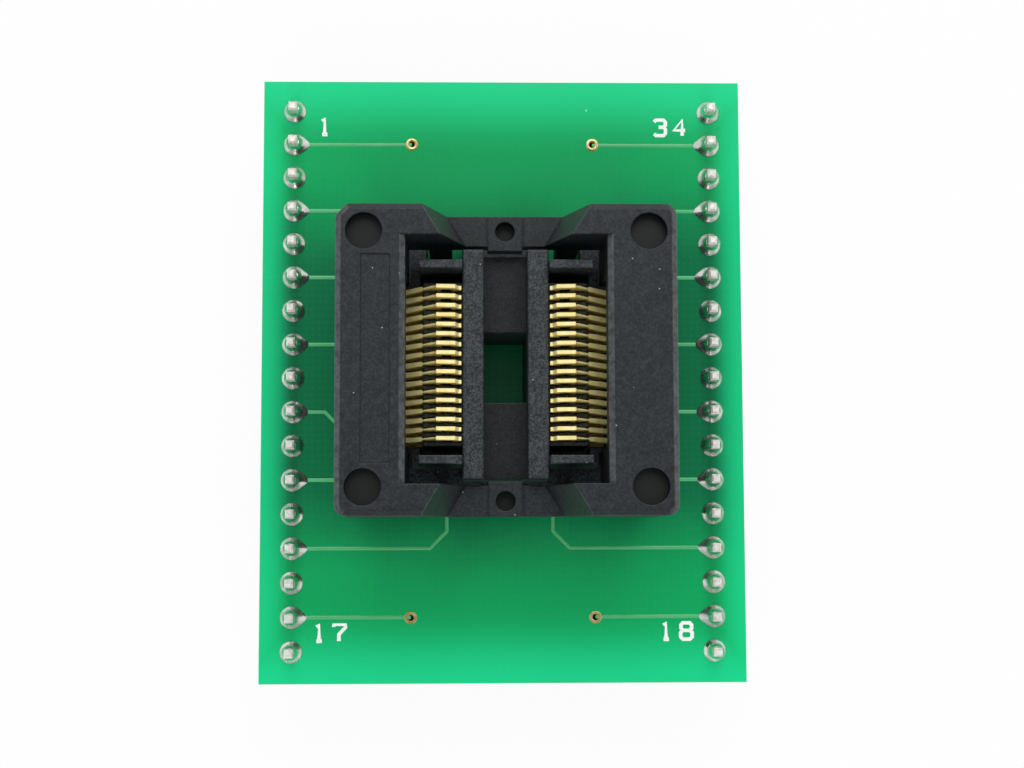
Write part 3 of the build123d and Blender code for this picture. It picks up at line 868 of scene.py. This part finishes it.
@dataclass
class ContactRow:
    """One row of gold contacts: moving arms, fixed stems and their solder under the board."""

    side: Side
    board: CircuitBoard
    count: int = 17
    pitch: float = 0.65
    tail_outs: tuple[float, float] = (5.5, 7.0)
    score_out: float = 4.825
    score_half: float = 0.055
    score_depth: float = 0.4
    score_level: float = 21.6
    neck_start: float = 4.9
    neck_end: float = 5.76
    neck_slope: float = 0.05
    neck_level: float = 19.6
    neck_share: float = 0.5
    shoulder_level: float = 18.6
    shoulder_share: float = 1.28
    edge: float = 0.035
    slack: float = 0.01
    flat_side: float = 0.7

    def width_share(self, out: float, level: float) -> float:
        """Share of the sheet's width that an arm has at a place.

        Args:
            out: Distance from the socket's middle plane in millimetres.
            level: Level in millimetres.

        Returns:
            A factor on the width of the CAD arm.
        """
        shoulder = self.neck_end - self.slack
        if level > self.neck_level and self.neck_start < out < shoulder:
            return self.neck_share
        if level > self.shoulder_level and out > shoulder:
            return self.shoulder_share
        return 1.0

    def cut_across(self, shape: BMesh, outs: Iterable[float]) -> None:
        """Cuts the faces of the row's arms along planes across them.

        Args:
            shape: The arms, changed in place.
            outs: Distances of the planes from the socket's middle plane in millimetres.
        """
        for out in outs:
            bmesh.ops.bisect_plane(shape, geom=[*shape.verts, *shape.edges, *shape.faces],
                                   dist=SAME_POINT, plane_co=(self.side.value * out * MM, 0, 0),
                                   plane_no=(1, 0, 0))

    def build_arms(self) -> None:
        """Necks each arm outside its beak, widens its shoulder, and rounds and scores it."""
        node = f"contact_arms_{self.side.word}"
        shape = cad_copy(node)
        self.cut_across(shape, (self.neck_start, self.neck_start + self.neck_slope,
                                self.neck_end - self.neck_slope, self.neck_end))
        for vert in shape.verts:
            middle = round(vert.co.y / (self.pitch * MM)) * self.pitch * MM
            share = self.width_share(abs(vert.co.x) / MM, vert.co.z / MM)
            vert.co.y = middle + (vert.co.y - middle) * share
        soften(shape, self.edge)
        self.cut_across(shape, (self.score_out - self.score_half, self.score_out,
                                self.score_out + self.score_half))
        for vert in shape.verts:
            off = abs(abs(vert.co.x) / MM - self.score_out)
            if off < self.slack and vert.co.z / MM > self.score_level:
                vert.co.z -= self.score_depth * MM
        mark_faces(shape, "torn_edge", lambda face: float(abs(face.normal.y) < self.flat_side))
        add_piece(f"{node}_plated", shape, CONTACT_GOLD, f"contacts_{self.side.word}",
                  node)

    def build(self) -> None:
        """Builds the arms, dresses the stems and sets the solder of the tails."""
        self.build_arms()
        # The stems get the gold with painted shade.
        dress(f"contact_stems_{self.side.word}", SHADED_STEM_GOLD)
        spots = [(self.side.value * self.tail_outs[k % 2],
                  ((self.count - 1) / 2 - k) * self.pitch) for k in range(self.count)]
        joints = SolderJoints(f"tail_solder_{self.side.word}", self.board.bottom, foot=0.52,
                              rise=0.4, neck=0.2, seed=11 + self.side.value, hangs=True,
                              steps=14)
        joints.build(spots)


@dataclass
class Socket:
    """The socket's two mouldings and the four springs between them."""

    edge: float = 0.07
    cover_top: float = 24.74
    dimple_radius: float = 1.225
    key_top: float = 19.54
    key_along: float = 9.425
    key_radius: float = 0.675
    key_depth: float = 2.0
    hole_slack: float = 1.01
    rim_gap: float = 0.08
    # The cover's top bevels are paler, partly from rubbing and partly from a painted sheen, most on
    # those that face the sides.
    sheen_rub_depth: float = 0.5
    sheen_rub_slopes: tuple[float, float] = (0.5, 0.85)
    outer_sheen_rub: float = 0.32
    # The trough's floor is partly darkened with painted shade.
    inner_sheen_rub: float = 0.36
    trough_level: float = 18.04
    trough_slack: float = 0.02
    trough_shade_share: float = 0.75
    corner_out: float = 9.58
    corner_along: float = 8.58
    wire: float = 0.32
    coil: float = 2.3
    seat: float = 13.54
    height: float = 9.2
    travel: float = 2.0
    turns: int = 6
    close_rise: float = 0.35
    steps_per_quarter: int = 5

    def painted_recess_shade(self, face: BMFace) -> float:
        """Painted shade on a face: 1 in the cover's dimples and key holes."""
        middle = face.calc_center_median() / MM
        dimple = math.hypot(abs(middle.x) - self.corner_out, abs(middle.y) - self.corner_along)
        hole = math.hypot(middle.x, abs(middle.y) - self.key_along)
        in_dimple = (dimple < self.dimple_radius * self.hole_slack
                     and self.key_top < middle.z < self.cover_top - self.rim_gap)
        in_hole = (hole < self.key_radius * self.hole_slack
                   and -self.key_depth < middle.z - self.key_top < -self.rim_gap)
        return float(in_dimple or in_hole)

    def rub_and_side_sheen(self, face: BMFace) -> float:
        """How much a bevel along the cover's top is paler, from rubbing and from a painted sheen:
        most at its long sides.
        """
        middle = face.calc_center_median() / MM
        low, high = self.sheen_rub_slopes
        if middle.z < self.cover_top - self.sheen_rub_depth or not low < face.normal.z < high:
            return 0.0
        sheen_rub = self.outer_sheen_rub if face.normal.x * middle.x > 0 else self.inner_sheen_rub
        return sheen_rub * abs(face.normal.x)

    def trough_shade(self, face: BMFace) -> float:
        """Painted shade on a face of the base: partly so on the trough's floor."""
        level = face.calc_center_median().z / MM
        return self.trough_shade_share if abs(level - self.trough_level) < self.trough_slack else 0.0

    def build_mouldings(self) -> None:
        """Copies the base and the cover with rounded edges, paler from rubbing and a painted sheen,
        and with painted shade in their recesses.
        """
        base = cad_copy("socket_base")
        soften(base, self.edge)
        mark_faces(base, "painted_recess_shade", self.trough_shade)
        add_piece("socket_base_moulding", base, BASE_PLASTIC, "root",
                  "socket_base")
        cover = cad_copy("socket_cover")
        soften(cover, self.edge)
        # The cover's top bevels get more of the paler tone, part rubbing and part painted sheen.
        mark_faces(cover, "edge_wear_and_sheen", self.rub_and_side_sheen)
        mark_faces(cover, "painted_recess_shade", self.painted_recess_shade)
        add_piece("socket_cover_moulding", cover, COVER_PLASTIC, "cover",
                  "socket_cover")

    def coil_mesh(self, x: float, y: float) -> BMesh:
        """Winds a spring with close turns at both ends.

        Args:
            x: Middle of the spring in millimetres.
            y: Middle of the spring in millimetres.

        Returns:
            A closed bmesh in metres.
        """
        shape = bmesh.new()
        radius = (self.coil - self.wire) / 2
        place = (Matrix.Translation((x * MM + radius * MM, y * MM,
                                     (self.seat + self.wire / 2) * MM))
                 @ Matrix.Rotation(math.pi / 2, 4, "X"))
        bmesh.ops.create_circle(shape, cap_ends=False, segments=8, radius=self.wire / 2 * MM,
                                matrix=place)
        rise = self.height - self.wire
        # Shares of the rise that the quarter turns get.
        closed = [self.close_rise] * 4
        weights = closed + [1.0] * 4 * (self.turns - 2) + closed
        geometry = shape.verts[:] + shape.edges[:]
        for weight in weights:
            step = rise * weight / sum(weights) / self.steps_per_quarter * MM
            wound = bmesh.ops.spin(shape, geom=geometry, cent=(x * MM, y * MM, 0), axis=UP,
                                   dvec=(0, 0, step), angle=math.pi / 2,
                                   steps=self.steps_per_quarter)
            geometry = wound["geom_last"]
        close_up(shape)
        return shape

    def build_springs(self) -> None:
        """Winds the four springs and gives each its own copy of its mesh."""
        for x, across in ((-self.corner_out, "left"), (self.corner_out, "right")):
            for y, along in ((-self.corner_along, "front"), (self.corner_along, "back")):
                node = f"spring_{along}_{across}"
                piece = add_piece(f"{node}_coil", self.coil_mesh(x, y), SPRING_STEEL, "root",
                                  node, smooth=True)
                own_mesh(piece)

    def build(self) -> None:
        """Builds the mouldings and the springs."""
        self.build_mouldings()
        self.build_springs()


@dataclass(frozen=True)
class BrightPaper(Finish):
    """Seamless white paper that shows as white, and keeps a faint shadow of the object."""

    name: str = "seamless_paper"
    paper: str = "#F2F2F0"
    glow: float = 0.93

    def shade(self, tree: NodeTree) -> Node:
        """Builds the paper's nodes and returns its shader."""
        seen = seen_by_eye(tree)
        amount = add_node(tree, "Math", {0: seen, 1: self.glow}, operation="MULTIPLY")
        fibre = add_node(tree, "TexNoise", {"Scale": per_mm(1.5), "Detail": 4.0})
        bump = add_node(tree, "Bump", {"Height": fibre, "Strength": 0.05, "Distance": 0.02 * MM})
        matt = add_node(tree, "BsdfDiffuse", {"Color": linear(self.paper), "Normal": bump})
        white = add_node(tree, "Emission", {"Strength": 1.0})
        return add_node(tree, "MixShader", {0: amount, 1: matt, 2: white})


def seen_by_eye(tree: NodeTree) -> Node:
    """Tells rays of the camera, a reflection or clear material from rays that carry light.

    Args:
        tree: Node tree of the paper or of the world.

    Returns:
        A node whose factor is 1 for a ray that shows what it meets.
    """
    path = add_node(tree, "LightPath")
    mirrored = add_node(tree, "Math",
                        {0: path.outputs["Is Glossy Ray"], 1: path.outputs["Is Transmission Ray"]},
                        operation="MAXIMUM")
    return add_node(tree, "Math", {0: path.outputs["Is Camera Ray"], 1: mirrored},
                    operation="MAXIMUM")


@dataclass(frozen=True)
class SoftLamp:
    """A square soft lamp turned to the object, with its place and size in millimetres."""

    name: str
    place: tuple[float, float, float]
    size: float
    power: float
    is_mirrored: bool = False


@dataclass
class Studio:
    """White tent: bright paper, a soft sky, three lamps, and the camera above."""

    floor_size: float = 1600.0
    lens: float = 60.41
    sensor: float = 36.0
    camera_place: tuple[float, float, float] = (-2.546, -12.05, 138.56)
    camera_turn: tuple[float, float, float] = (0.0902, -0.025, -0.003)
    sky_light: float = 0.5
    sky_overhead: float = 0.25
    front_opening: float = 0.5
    aim_level: float = 15.0
    lamps: tuple[SoftLamp, ...] = (
        SoftLamp("back_softbox", (20, 300, 380), size=360, power=0.95, is_mirrored=True),
        SoftLamp("front_softbox", (0, -300, 400), size=340, power=0.8),
        SoftLamp("top_softbox", (0, 20, 460), size=200, power=0.3),
    )

    def build_floor(self) -> None:
        """Lays the paper under the pins."""
        shape = bmesh.new()
        bmesh.ops.create_grid(shape, x_segments=4, y_segments=4, size=self.floor_size / 2 * MM)
        mesh = bpy.data.meshes.new("floor")
        shape.to_mesh(mesh)
        shape.free()
        mesh.materials.append(BrightPaper().material())
        add_object("floor", mesh)

    def build_sky(self) -> None:
        """Surrounds the object with the tent, which lights it evenly.

        Mirrored in the object, it is white at the sides, greyer overhead and open in front.
        """
        world = bpy.data.worlds.new("tent")
        world.use_nodes = True
        tree = world.node_tree
        tree.nodes.clear()
        path = add_node(tree, "LightPath")
        direction = add_node(tree, "TexCoord").outputs["Generated"]
        height = add_node(tree, "SeparateXYZ", {"Vector": direction})
        mirrored = add_node(tree, "MapRange",
                            {"Value": height.outputs["Z"], "From Min": 0.8, "From Max": 0.985,
                             "To Min": 1.0, "To Max": self.sky_overhead},
                            interpolation_type="SMOOTHSTEP")
        opening = add_node(tree, "MapRange",
                           {"Value": height.outputs["Y"], "From Min": -0.85, "From Max": -0.45,
                            "To Min": self.front_opening, "To Max": 1.0},
                           interpolation_type="SMOOTHSTEP")
        tent = add_node(tree, "Math", {0: mirrored, 1: opening}, operation="MULTIPLY")
        shown = add_node(tree, "Mix", {0: path.outputs["Is Camera Ray"], 2: tent, 3: 1.0},
                         data_type="FLOAT")
        strength = add_node(tree, "Mix", {0: seen_by_eye(tree), 2: self.sky_light, 3: shown},
                            data_type="FLOAT")
        sky = add_node(tree, "Background", {"Strength": strength})
        add_node(tree, "OutputWorld", {"Surface": sky})
        bpy.context.scene.world = world

    def build_lamps(self) -> None:
        """Hangs the soft lamps and turns them to the object.

        The lamps beside the camera are baffled, so that they don't show in the solder.
        """
        for box in self.lamps:
            lamp = bpy.data.lights.new(box.name, "AREA")
            lamp.shape = "SQUARE"
            lamp.size = box.size * MM
            lamp.energy = box.power
            holder = add_object(box.name, lamp)
            holder.location = Vector(box.place) * MM
            holder.visible_glossy = box.is_mirrored
            aim = Vector((0, 0, self.aim_level)) - Vector(box.place)
            holder.rotation_euler = aim.to_track_quat("-Z", "Y").to_euler()

    def build_camera(self) -> None:
        """Sets the camera where the photograph was taken from."""
        data = bpy.data.cameras.new("camera")
        data.lens = self.lens
        data.sensor_width = self.sensor
        data.sensor_fit = "HORIZONTAL"
        data.clip_start = 0.01
        camera = add_object("camera", data)
        camera.location = Vector(self.camera_place) * MM
        camera.rotation_euler = self.camera_turn
        bpy.context.scene.camera = camera

    def build(self) -> None:
        """Builds the floor, the sky, the lamps and the camera."""
        self.build_floor()
        self.build_sky()
        self.build_lamps()
        self.build_camera()
        bpy.context.scene.view_settings.view_transform = "Standard"


def main() -> None:
    """Builds the studio and dresses the adapter."""
    logging.basicConfig(level=logging.INFO, format="%(name)s: %(message)s")
    Studio().build()
    board = CircuitBoard()
    board.build()
    for side in Side:
        HeaderRow(side, board).build()
        ContactRow(side, board).build()
    Socket().build()


if __name__ == "__main__":
    main()
